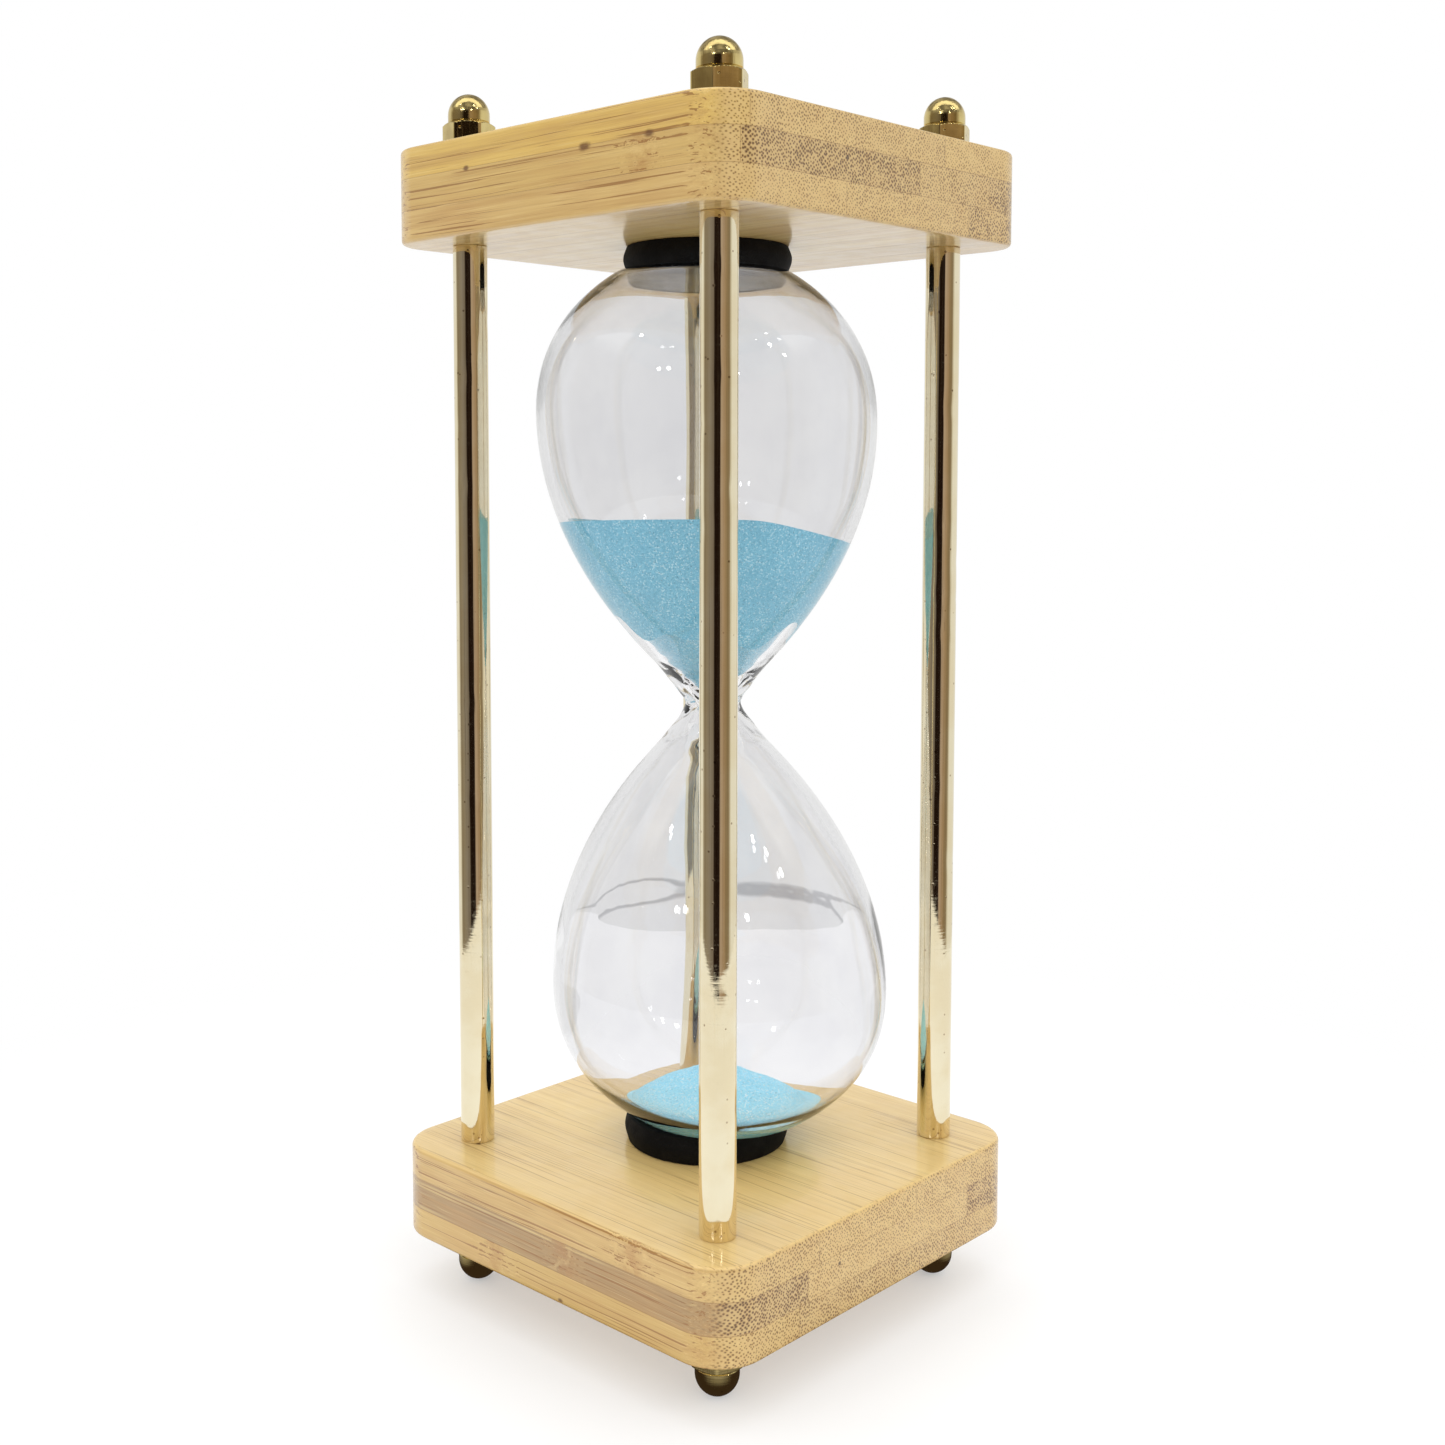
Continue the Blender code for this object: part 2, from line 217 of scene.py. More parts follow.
def make_column(name, place, seed, material):
    """Thin tube between the boards, a little dented, its middle at the origin."""
    half = PLATE_SPACING / 2
    soft = 0.0002
    rows = 150
    outline = [(COLUMN_BORE, half), (COLUMN_RADIUS - soft, half)]
    for step in range(1, 4):
        angle = math.radians(30 * step)
        outline.append((COLUMN_RADIUS - soft * (1 - math.sin(angle)),
                        half - soft * (1 - math.cos(angle))))
    for row in range(1, rows):
        outline.append((COLUMN_RADIUS, (half - soft) * (1 - 2 * row / rows)))
    for step in range(0, 4):
        angle = math.radians(90 - 30 * step)
        outline.append((COLUMN_RADIUS - soft * (1 - math.sin(angle)),
                        -half + soft * (1 - math.cos(angle))))
    outline.append((COLUMN_BORE, -half))
    rng = random.Random(seed)
    dents = [(rng.uniform(-0.072, 0.072), rng.uniform(0, 2 * math.pi),
              rng.uniform(0.0007, 0.0018), rng.uniform(0.00003, 0.00009)) for _ in range(16)]

    def shape(radius, height, angle):
        if radius > COLUMN_RADIUS - 1e-6:
            for z, turn, size, depth in dents:
                away = (angle - turn + math.pi) % (2 * math.pi) - math.pi
                far = ((height - z) / size) ** 2 + (away * COLUMN_RADIUS / size) ** 2
                if far < 6:
                    radius -= depth * math.exp(-far)
            wave = noise.noise(Vector((math.cos(angle) * 0.7, math.sin(angle) * 0.7,
                                       height * 90 + seed * 7.1)))
            radius -= 0.000012 * (1 + wave)
        return (*around(radius, angle), height)

    vertices, faces = lathe(outline, 72, closed=True, shape=shape)
    return add_object(name, vertices, faces, material, 50, place)


def make_stud(name, place, material):
    """Threaded stud: a round bar whose surface carries a helical ridge."""
    turns_up = 2 * STUD_REACH / THREAD_PITCH
    per_turn = 10
    steps = 12
    rows = int(turns_up * per_turn / 2)
    outline = [(0.0, STUD_REACH)]
    for row in range(rows + 1):
        outline.append((STUD_RADIUS, STUD_REACH - 2 * STUD_REACH * row / rows))
    outline.append((0.0, -STUD_REACH))

    def shape(radius, height, angle):
        if radius > 0:
            turn = (height / THREAD_PITCH + angle / (2 * math.pi)) % 1.0
            radius -= THREAD_DEPTH * abs(2 * turn - 1)
            end = STUD_REACH - abs(height)
            radius = min(radius, STUD_RADIUS - 0.0004 + end)
        return (*around(radius, angle), height)

    vertices, faces = lathe(outline, steps, shape=shape)
    return add_object(name, vertices, faces, material, 60, place)


def nut_mesh_data():
    """Domed nut with its seat at z = 0: chamfered hexagon, collar, round dome, threaded bore."""
    corner = NUT_FLATS / 2 / math.cos(math.radians(30))
    slope = math.tan(math.radians(28))
    face = NUT_FLATS / 2 - 0.00015

    def limit(height):
        """How far out the turned chamfers let the hexagon reach at a height."""
        above = face + (NUT_HEX_HEIGHT - height) / slope
        below = face + 0.0002 + height / slope
        return min(above, below, corner - 0.00007)

    heights = [NUT_HEX_HEIGHT * (1 - (1 - math.cos(math.pi * i / 26)) / 2) for i in range(27)]
    outline = [(0.0, NUT_HEIGHT)]
    rise = NUT_HEIGHT - NUT_SHOULDER
    for ring in range(1, 19):
        angle = math.radians(90 * ring / 18)
        outline.append((NUT_DOME_RADIUS * math.sin(angle), NUT_SHOULDER + rise * math.cos(angle)))
    outline.append((NUT_DOME_RADIUS, NUT_HEX_HEIGHT + 0.00035))
    outline.append((NUT_DOME_RADIUS - 0.00012, NUT_HEX_HEIGHT + 0.00018))
    outline.append((NUT_DOME_RADIUS - 0.00012, NUT_HEX_HEIGHT + 0.00004))
    outline += [(1.0, height) for height in heights]
    outline += [(0.0029, 0.0), (0.0024, 0.0005), (0.0024, 0.0066), (0.0, 0.0072)]

    def shape(radius, height, angle):
        if radius == 1.0:
            within = (angle + math.radians(30)) % math.radians(60) - math.radians(30)
            radius = min(NUT_FLATS / 2 / math.cos(within), limit(height))
        return (*around(radius, angle), height)

    return lathe(outline, 120, shape=shape)


def make_pad(name, bottom_z, thickness, seed, material):
    """Foam disc: its side bulges, its edges are cut a little soft and uneven."""
    outline = [(0.0, thickness)]
    for ring in range(1, 15):
        outline.append(((PAD_RADIUS - 0.0012) * ring / 14, thickness))
    soft = 0.0005
    for step in range(1, 8):
        angle = math.radians(90 * step / 7)
        outline.append((PAD_RADIUS - 0.00062 - soft * (1 - math.sin(angle)),
                        thickness - soft * (1 - math.cos(angle))))
    side = thickness - 2 * soft
    for ring in range(1, 12):
        share = ring / 12
        outline.append((PAD_RADIUS - 0.00062 + 0.00048 * math.sin(math.pi * share),
                        thickness - soft - side * share))
    for step in range(0, 8):
        angle = math.radians(90 - 90 * step / 7)
        outline.append((PAD_RADIUS - 0.00062 - soft * (1 - math.sin(angle)),
                        soft * (1 - math.cos(angle))))
    for ring in range(13, 0, -1):
        outline.append(((PAD_RADIUS - 0.0012) * ring / 14, 0.0))
    outline.append((0.0, 0.0))

    def shape(radius, height, angle):
        x, y = around(radius, angle)
        if radius > 0.012:
            at = Vector((x * 260, y * 260, height * 500 + seed))
            slow = Vector((x * 70, y * 70, seed * 3.3))
            move = 0.00007 * (noise.noise(at) - 1) + 0.00006 * (noise.noise(slow) - 1)
            x += move * x / radius
            y += move * y / radius
        return (x, y, height)

    vertices, faces = lathe(outline, 160, shape=shape)
    return add_object(name, vertices, faces, material, 60, (0.0, 0.0, bottom_z))


# ---------------------------------------------------------------- glass and sand

def bulb_outline(end_height, wall, neck_radius):
    """(radius, height) points from the flat end to the neck, wall inside the outer surface."""
    end = (GLASS_END_RADIUS - 0.6 * wall, end_height - wall)
    widest = (BULB_RADIUS - wall, BULB_WIDEST_HEIGHT)
    foot = (0.0101 - 1.2 * wall, 0.0073 + 0.25 * wall)
    lean = math.radians(43.5)
    side = (math.sin(lean), math.cos(lean))
    neck_rise = 0.0010 + 0.5 * wall
    points = curve_points(end, (end[0] + 0.0086, end[1] - 0.0051),
                          (widest[0], widest[1] + 0.0120), widest, 30)
    points += curve_points(widest, (widest[0], widest[1] - 0.0213),
                           (foot[0] + 0.0084 * side[0], foot[1] + 0.0084 * side[1]), foot, 44)
    points += curve_points(foot, (foot[0] - 0.0022 * side[0], foot[1] - 0.0022 * side[1]),
                           (neck_radius, neck_rise), (neck_radius, 0.0), 20)
    return points


def glass_surface(wall, neck_radius):
    """(radius, height) points of the whole glass from its top to its foot, about the middle."""
    drop = -NECK_DROP
    upper = bulb_outline(GLASS_TOP - drop, wall, neck_radius)
    lower = bulb_outline(drop - GLASS_FOOT, wall, neck_radius)
    points = [(radius, drop + height) for radius, height in upper]
    points.append((neck_radius, drop))
    points += [(radius, drop - height) for radius, height in reversed(lower)]
    return points


def inner_surface():
    """The glass's inner outline: the wall is thinner at the shoulders and beside the sand."""
    points = []
    for radius, height in glass_surface(GLASS_WALL, NECK_BORE_RADIUS):
        from_drop = abs(height + NECK_DROP)
        shoulder = smooth_step(from_drop, 0.0450, 0.0640)
        side = smooth_step(from_drop, 0.0020, 0.0110) * (1 - smooth_step(from_drop, 0.034, 0.044))
        out = SHOULDER_THINNING * shoulder + SIDE_THINNING * side
        rise = END_THINNING * shoulder * (1 if height > 0 else -1)
        points.append((radius + out, height + rise))
    return points


def smooth_step(value, low, high):
    share = min(1.0, max(0.0, (value - low) / (high - low)))
    return share * share * (3 - 2 * share)


def lean_shift(height):
    """How far the glass's axis stands from the middle, along X and along Y, at a height."""
    slope = (GLASS_TOP_OFFSET - GLASS_FOOT_OFFSET) / (GLASS_TOP - GLASS_FOOT) / math.sqrt(2)
    return GLASS_TOP_OFFSET / math.sqrt(2) + slope * (height - GLASS_TOP)


def radius_at(outline, height):
    """Radius of a falling outline at a height."""
    for (r0, z0), (r1, z1) in zip(outline, outline[1:]):
        if z0 >= height >= z1 and z0 > z1:
            return r0 + (r1 - r0) * (z0 - height) / (z0 - z1)
    return outline[-1][0]


def glass_wobble(radius, height, angle, inner):
    """The uneven wall of blown glass: slow waves on the bulbs, folds round the neck."""
    across = Vector((math.cos(angle), math.sin(angle), 0.0))
    kind = 11.0 if inner else 3.0
    slow = noise.noise(across * 1.1 + Vector((kind, 0.0, height * 42)))
    near_neck = math.exp(-(height / 0.0085) ** 2)
    folds = noise.noise(across * 1.6 + Vector((kind, 5.0, height * 420)))
    fine = noise.noise(across * 3.1 + Vector((kind, 9.0, height * 800)))
    waves = (0.00016 if inner else 0.00005) * slow * (1 + smooth_step(-height, 0.010, 0.030))
    waves += near_neck * ((0.00034 if inner else 0.00020) * folds + 0.00012 * fine)
    return waves * min(1.0, radius / 0.0032)


def make_glass(material):
    outer = glass_surface(0.0, NECK_RADIUS)
    inner = inner_surface()
    wall = GLASS_WALL - END_THINNING
    outline = [(0.0, GLASS_TOP), (0.006, GLASS_TOP), (0.011, GLASS_TOP)] + outer
    outline += [(0.011, GLASS_FOOT), (0.006, GLASS_FOOT), (FILL_HOLE_RADIUS, GLASS_FOOT),
                (FILL_HOLE_RADIUS, GLASS_FOOT + wall), (0.006, GLASS_FOOT + wall),
                (0.011, GLASS_FOOT + wall)]
    inner_from = len(outline)
    outline += list(reversed(inner))
    outline += [(0.011, GLASS_TOP - wall), (0.006, GLASS_TOP - wall), (0.0, GLASS_TOP - wall)]
    inner_points = set(outline[inner_from:])

    def shape(radius, height, angle):
        if GLASS_FOOT + 0.004 < height < GLASS_TOP - 0.004:
            radius += glass_wobble(radius, height, angle, (radius, height) in inner_points)
        shift = lean_shift(height)
        return (*around(radius, angle, shift), height)

    vertices, faces = lathe(outline, 128, shape=shape)
    return add_object("glass_blown", vertices, faces, material, 62, (0.0, 0.0, MIDDLE_Z))


def make_stopper(material):
    foot = GLASS_FOOT + 0.0001
    outline = [(0.0, foot + 0.0012), (0.0018, foot + 0.0012), (0.0024, foot + 0.0011),
               (0.0025, foot + 0.0009), (0.00262, foot + 0.0003), (0.0025, foot + 0.0001),
               (0.0018, foot), (0.0, foot)]
    shift = lean_shift(GLASS_FOOT)
    vertices, faces = lathe(outline, 48)
    return add_object("stopper_plug", vertices, faces, material, 50, (shift, shift, MIDDLE_Z))


def wall_contact(height, angle):
    """Grains press on the glass, and stand back from it where the bulb narrows to the neck."""
    across = Vector((math.cos(angle), math.sin(angle), height * 90))
    edge = SAND_CLEAR_BELOW + 0.0040 * noise.noise(across * 1.7)
    if height < 0:
        return SAND_PRESS
    back = (SAND_PRESS + SAND_CLEARANCE) * (1 - smooth_step(height, edge - 0.002, edge))
    return SAND_PRESS - back


def grain_height(x, y, scale):
    """Small unevenness of poured sand."""
    at = Vector((x / scale, y / scale, 0.37))
    return noise.noise(at)


def upper_sand_level(x, y):
    """Height of the sand's surface in the upper bulb, slipped down on one side."""
    past = (x + y) / math.sqrt(2) - SLIP_START
    level = UPPER_SAND_LEVEL + (x - y) / math.sqrt(2) * math.tan(SAND_BACKWARD_TILT)
    return level - math.tan(SLIP_ANGLE) * (past + math.hypot(past, 0.0030)) / 2


def make_upper_sand(material):
    wall = inner_surface()
    steps, side_rows, top_rows = 288, 96, 60
    vertices, rows = [], []
    rims = []
    for step in range(steps):
        angle = 2 * math.pi * step / steps
        low, high = UPPER_SAND_TIP, UPPER_SAND_LEVEL + 0.002
        for _ in range(30):
            middle = (low + high) / 2
            radius = radius_at(wall, middle) + SAND_PRESS
            shift = lean_shift(middle)
            x, y = around(radius, angle, shift)
            if upper_sand_level(x, y) > middle:
                low = middle
            else:
                high = middle
        rims.append(low)
    for row in range(top_rows):
        share = row / top_rows
        ring = []
        for step in range(steps):
            angle = 2 * math.pi * step / steps
            rim = rims[step]
            shift = lean_shift(rim)
            radius = (radius_at(wall, rim) + SAND_PRESS) * share
            x, y = around(radius, angle, shift)
            at_rim = upper_sand_level(*around(radius / max(share, 1e-6), angle, shift))
            level = upper_sand_level(x, y) + share ** 6 * (rim - at_rim)
            bumps = 0.00020 * grain_height(x, y, 0.0042) + 0.00007 * grain_height(x, y, 0.0009)
            bumps += 0.00006 * grain_height(y, x, 0.00042)
            z = level + bumps * (1 - share ** 8) + 0.0003 * share ** 10
            ring.append(len(vertices))
            vertices.append((x, y, z))
            if row == 0:
                ring = ring * steps
                break
        rows.append(ring)
    for row in range(side_rows + 1):
        share = row / side_rows
        ring = []
        for step in range(steps):
            angle = 2 * math.pi * step / steps
            z = rims[step] + 0.0003 + (UPPER_SAND_TIP - rims[step] - 0.0003) * share
            radius = radius_at(wall, z) + wall_contact(z, angle)
            radius += glass_wobble(radius_at(wall, z), z, angle, True)
            shift = lean_shift(z)
            ring.append(len(vertices))
            vertices.append((*around(radius, angle, shift), z))
        rows.append(ring)
    shift = lean_shift(UPPER_SAND_TIP)
    vertices.append((shift, shift, UPPER_SAND_TIP))
    rows.append([len(vertices) - 1] * steps)
    return add_object("sand_upper", vertices, skin(rows), material, 50, (0.0, 0.0, MIDDLE_Z))


def pile_level(away):
    """Height of the pile in the lower bulb, from its middle (0) to its rounded edge (1)."""
    rounded = (math.sqrt(away * away + 0.012) - math.sqrt(0.012)) / (
        math.sqrt(1.012) - math.sqrt(0.012))
    return LOWER_SAND_PEAK - (LOWER_SAND_PEAK - LOWER_SAND_RIM) * (
        0.74 * rounded + 0.26 * away ** 9)


def make_lower_sand(material):
    wall = inner_surface()
    steps, side_rows, top_rows = 300, 40, 90
    floor = GLASS_FOOT + GLASS_WALL - END_THINNING + 0.00005
    centre = lean_shift(LOWER_SAND_RIM) + PILE_OFFSET
    vertices, rows = [], []
    for row in range(top_rows + 1):
        share = row / top_rows
        ring = []
        for step in range(steps):
            angle = 2 * math.pi * step / steps
            edge = 1 + 0.018 * noise.noise(Vector((math.cos(angle) * 2, math.sin(angle) * 2, 4.0)))
            radius = PILE_RADIUS * share * edge
            x, y = around(radius, angle, centre)
            bumps = 0.00034 * grain_height(x, y, 0.0052) + 0.00010 * grain_height(x, y, 0.0010)
            bumps += 0.00007 * grain_height(y, x, 0.00042)
            z = pile_level(share) + bumps * (1 - share ** 6)
            ring.append(len(vertices))
            vertices.append((x, y, z))
            if row == 0:
                ring = ring * steps
                break
        rows.append(ring)
    rim = rows[-1]
    for row in range(1, side_rows + 1):
        share = row / side_rows
        z = LOWER_SAND_RIM + (floor - LOWER_SAND_RIM) * share
        shift = lean_shift(z)
        ring = []
        for step in range(steps):
            angle = 2 * math.pi * step / steps
            rim_x, rim_y = vertices[rim[step]][0] - shift, vertices[rim[step]][1] - shift
            against = radius_at(wall, z) + wall_contact(z, angle)
            spread = smooth_step(LOWER_SAND_RIM - z, 0.0, PILE_SPREAD)
            radius = math.hypot(rim_x, rim_y)
            radius += (against - radius) * spread
            turn = math.atan2(rim_y, rim_x)
            ring.append(len(vertices))
            vertices.append((*around(radius, turn, shift), z))
        rows.append(ring)
    shift = lean_shift(floor)
    vertices.append((shift, shift, floor))
    rows.append([len(vertices) - 1] * steps)
    return add_object("sand_lower", vertices, skin(rows), material, 50, (0.0, 0.0, MIDDLE_Z))


# ---------------------------------------------------------------- materials

class Graph:
    """Short ways to add shader nodes. Kinds leave out their first word, ShaderNode.

    A value is a number, a tuple or another node's output.
    """

    def __init__(self, tree):
        self.tree = tree
        tree.nodes.clear()

    def put(self, socket, value):
        if isinstance(value, bpy.types.NodeSocket):
            self.tree.links.new(value, socket)
        elif isinstance(value, tuple) and len(value) == 3 and socket.type == "RGBA":
            socket.default_value = (*value, 1.0)
        else:
            socket.default_value = value

    def node(self, kind, settings=None, inputs=None):
        made = self.tree.nodes.new("ShaderNode" + kind)
        for key, value in (settings or {}).items():
            setattr(made, key, value)
        for key, value in (inputs or {}).items():
            self.put(made.inputs[key], value)
        return made

    def math(self, operation, a, b=0.0):
        made = self.node("Math", {"operation": operation})
        self.put(made.inputs[0], a)
        self.put(made.inputs[1], b)
        if operation == "COMPARE":
            made.inputs[2].default_value = 0.1
        return made.outputs[0]

    def plus(self, a, b):
        return self.math("ADD", a, b)

    def minus(self, a, b):
        return self.math("SUBTRACT", a, b)

    def times(self, a, b):
        return self.math("MULTIPLY", a, b)

    def absolute(self, a):
        return self.math("ABSOLUTE", a)

    def ramp(self, value, low, high, to_low=0.0, to_high=1.0, smooth=True):
        made = self.node("MapRange",
                         {"interpolation_type": "SMOOTHSTEP" if smooth else "LINEAR"})
        for index, item in enumerate((value, low, high, to_low, to_high)):
            self.put(made.inputs[index], item)
        return made.outputs[0]

    def mix(self, factor, a, b, blend="MIX"):
        made = self.node("Mix", {"data_type": "RGBA", "blend_type": blend})
        self.put(made.inputs[0], factor)
        self.put(made.inputs[6], a)
        self.put(made.inputs[7], b)
        return made.outputs[2]

    def here(self):
        return self.node("TexCoord").outputs["Object"]

    def stretched(self, vector, *scale):
        return self.node("Mapping", None, {0: vector, 3: scale}).outputs[0]

    def cells(self, vector, scale):
        return self.node("TexVoronoi", None, {
            "Vector": vector, "Scale": scale, "Randomness": 1.0})

    def combine(self, x, y, z):
        made = self.node("CombineXYZ")
        for socket, value in zip(made.inputs, (x, y, z)):
            self.put(socket, value)
        return made.outputs[0]

    def noise(self, vector, scale, detail=2.0, roughness=0.5, distortion=0.0):
        made = self.node("TexNoise", None, {
            "Vector": vector, "Scale": scale, "Detail": detail, "Roughness": roughness,
            "Distortion": distortion})
        return made.outputs["Fac"]

    def colours(self, value, stops, constant=False):
        made = self.node("ValToRGB")
        made.color_ramp.interpolation = "CONSTANT" if constant else "LINEAR"
        points = made.color_ramp.elements
        while len(points) < len(stops):
            points.new(0.5)
        for point, (place, colour) in zip(points, stops):
            point.position = place
            point.color = (*colour, 1.0)
        self.put(made.inputs[0], value)
        return made.outputs[0]

    def bump(self, height, distance, strength=1.0, normal=None):
        inputs = {"Height": height, "Distance": distance, "Strength": strength}
        if normal is not None:
            inputs["Normal"] = normal
        return self.node("Bump", None, inputs).outputs[0]


def srgb(red, green, blue):
    """Linear colour of 8-bit display values."""
    def one(value):
        value /= 255
        return value / 12.92 if value <= 0.04045 else ((value + 0.055) / 1.055) ** 2.4
    return (one(red), one(green), one(blue))


def new_material(name):
    material = bpy.data.materials.new(name)
    material.use_nodes = True
    graph = Graph(material.node_tree)
    shader = graph.node("BsdfPrincipled")
    graph.node("OutputMaterial", None, {0: shader.outputs[0]})
    return material, graph, shader


PALE_BAMBOO = (234, 199, 128)
DARK_BAMBOO = (166, 134, 88)
YELLOW_BAMBOO = (224, 184, 78)


def bamboo_material(name, seed, plies, joints, knots):
    """Laminated bamboo with its grain along X: three plies of strips, bundles as dots on the ends.

    plies: for each ply from the lowest, (where a strip starts in Y, darkness, dots, yellowness).
    joints: the culm's joints as (ply, X, from Y, to Y). knots: small dark marks (X, Y, Z, size).
    Places are in millimetres from the board's middle.
    """
    material, graph, shader = new_material(name)
    coordinates = graph.node("TexCoord")
    here = coordinates.outputs["Object"]
    place = graph.node("SeparateXYZ", None, {0: here})
    x = graph.times(place.outputs[0], 1000.0)
    y = graph.times(place.outputs[1], 1000.0)
    z = graph.times(place.outputs[2], 1000.0)
    facing = graph.node("SeparateXYZ", None, {0: coordinates.outputs["Normal"]})
    end_face = graph.ramp(graph.absolute(facing.outputs[0]), 0.45, 0.85)

    ply_place = graph.math("DIVIDE", graph.plus(z, 8.0), 16.0 / 3)
    ply = graph.math("FLOOR", ply_place)
    in_ply = graph.math("FRACT", ply_place)
    across = graph.math("DIVIDE", graph.plus(y, 40.0), 80.0)
    strips = None
    seams = None
    for number, strip_list in enumerate(plies):
        stops = [((start + 40.0) / 80.0, values) for start, *values in strip_list]
        ramp = graph.colours(across, stops, constant=True)
        gap = 1.0
        for start, *_ in strip_list[1:]:
            gap = graph.math("MINIMUM", gap, graph.absolute(graph.minus(y, start)))
        if strips is None:
            strips, seams = ramp, gap
        else:
            chosen = graph.math("GREATER_THAN", ply, number - 0.5)
            strips = graph.mix(chosen, strips, ramp)
            seams = graph.plus(graph.times(chosen, gap),
                               graph.times(graph.minus(1.0, chosen), seams))
    strip = graph.node("SeparateColor", None, {0: strips})
    darkness, dots, yellowness = strip.outputs[0], strip.outputs[1], strip.outputs[2]
    strip_shift = graph.plus(graph.times(darkness, 71.0), graph.times(ply, 17.3))

    # the grain wanders slowly, and swirls at the culm's joints
    swirl = graph.noise(graph.combine(
        graph.times(x, 0.42), graph.times(y, 0.34), graph.times(z, 0.5)), 1.0, 3.0, 0.6)
    joint = 0.0
    joint_core = 0.0
    for number, joint_x, low_y, high_y in joints:
        beside = graph.absolute(graph.minus(x, joint_x))
        within = graph.times(graph.ramp(y, low_y - 0.4, low_y + 0.4),
                             graph.ramp(y, high_y - 0.4, high_y + 0.4, 1.0, 0.0))
        within = graph.times(within, graph.math("COMPARE", ply, float(number)))
        joint = graph.math("MAXIMUM", joint, graph.times(
            within, graph.ramp(beside, 1.5, 8.0, 1.0, 0.0)))
        joint_core = graph.math("MAXIMUM", joint_core, graph.times(
            within, graph.ramp(beside, 0.6, 3.4, 1.0, 0.0)))
    wander = graph.noise(graph.combine(
        graph.times(x, 0.028), graph.times(graph.plus(y, strip_shift), 0.10),
        graph.plus(graph.times(z, 0.16), seed)), 1.0, 1.0, 0.5)
    bend = graph.times(graph.minus(wander, 0.5), 0.9)
    bend = graph.plus(bend, graph.times(joint, graph.times(graph.minus(swirl, 0.5), 3.2)))
    y_bent = graph.plus(y, bend)
    z_bent = graph.plus(z, graph.times(bend, 0.75))

    # vascular bundles stand in slanting rows in a strip's section
    section = graph.combine(graph.plus(graph.plus(y_bent, z_bent), strip_shift),
                            graph.minus(z_bent, y_bent), 0.0)
    cells = graph.node("TexVoronoi", {"voronoi_dimensions": "2D"}, {
        "Vector": section, "Scale": 1.32, "Randomness": 0.62}).outputs["Distance"]
    thin_out = graph.noise(graph.combine(
        graph.times(x, 0.02), graph.times(y_bent, 0.33), graph.times(z_bent, 0.45)), 1.0, 2.0, 0.6)
    reach = graph.plus(graph.times(dots, 0.20), 0.17)
    reach = graph.times(reach, graph.ramp(thin_out, 0.30, 0.62, 0.65, 1.2))
    bundle = graph.ramp(cells, graph.times(reach, 0.35), reach, 1.0, 0.0)
    breaks = graph.noise(graph.combine(graph.times(x, 0.035), y_bent, z_bent), 1.3, 2.0, 0.6)
    line_strength = graph.ramp(breaks, 0.34, 0.66, 0.0, 0.20)
    dot_strength = graph.ramp(breaks, 0.25, 0.6, 0.80, 1.0)
    strength = graph.plus(graph.times(end_face, dot_strength),
                          graph.times(graph.minus(1.0, end_face), line_strength))
    bundle = graph.times(bundle, strength)
    bundle = graph.times(bundle, graph.ramp(dots, 0.0, 1.0, 0.62, 1.0, smooth=False))

    # long fibres, fine dark lines and the slow change of tone along a strip
    fibres = graph.noise(graph.combine(
        graph.times(x, 0.07), graph.times(y_bent, 6.0), graph.times(z_bent, 6.0)), 1.0, 3.0, 0.6)
    y_strip = graph.plus(y_bent, strip_shift)
    streaks = graph.noise(graph.combine(
        graph.times(x, 0.014), graph.times(y_strip, 0.55), graph.times(z_bent, 0.75)),
        1.0, 3.0, 0.6)
    lines = graph.noise(graph.combine(
        graph.times(x, 0.017), graph.times(y_strip, 2.7), graph.times(z_bent, 2.9)),
        1.0, 2.0, 0.5)
    # painted light: faces that look up are mixed towards a lighter yellow and lose some of their
    # dark lines, standing in for the sheen and stronger light from above
    painted_top_light = graph.ramp(facing.outputs[2], 0.4, 0.9)
    line = graph.times(graph.ramp(lines, 0.60, 0.655), graph.ramp(end_face, 0.0, 1.0, 0.80, 0.10))
    line = graph.times(line, graph.ramp(painted_top_light, 0.0, 1.0, 1.0, 0.62, smooth=False))
    clouds = graph.noise(here, 55.0, 3.0, 0.55)

    base = graph.mix(darkness, srgb(*PALE_BAMBOO), srgb(*DARK_BAMBOO))
    for amount, colour in (
            (graph.times(yellowness, 0.8), YELLOW_BAMBOO),
            (graph.ramp(streaks, 0.44, 0.70, 0.0, 0.50), (186, 142, 80)),
            (graph.ramp(streaks, 0.28, 0.45, 0.42, 0.0), (240, 212, 140)),
            (graph.ramp(clouds, 0.42, 0.72, 0.0, 0.30), (196, 150, 88)),
            (graph.ramp(fibres, 0.50, 0.72, 0.0, 0.26), (160, 116, 60)),
            (graph.ramp(fibres, 0.30, 0.44, 0.22, 0.0), (246, 222, 160)),
            # painted top light: lighter yellow on faces that look up
            (graph.times(painted_top_light, 0.45), (250, 219, 148)),
            (graph.times(end_face, 0.42), (160, 124, 70)),
            (line, (150, 102, 46))):
        base = graph.mix(amount, base, srgb(*colour))
    rims = graph.times(end_face, graph.ramp(cells, reach, graph.plus(reach, 0.16), 0.0, 0.42))
    base = graph.mix(rims, base, srgb(238, 206, 140))
    base = graph.mix(bundle, base, srgb(86, 56, 26))
    patch = graph.times(joint_core, graph.ramp(swirl, 0.40, 0.62))
    base = graph.mix(graph.times(patch, 0.62), base, srgb(164, 104, 44))
    pale = graph.times(joint, graph.ramp(swirl, 0.30, 0.46, 1.0, 0.0))
    base = graph.mix(graph.times(pale, 0.45), base, srgb(240, 208, 140))
    for knot_x, knot_y, knot_z, size in knots:
        away = graph.node("VectorMath", {"operation": "DISTANCE"}, {
            0: graph.combine(graph.times(x, 0.6), y, z),
            1: (knot_x * 0.6, knot_y, knot_z)}).outputs["Value"]
        ragged = graph.plus(away, graph.times(graph.minus(swirl, 0.5), size * 0.8))
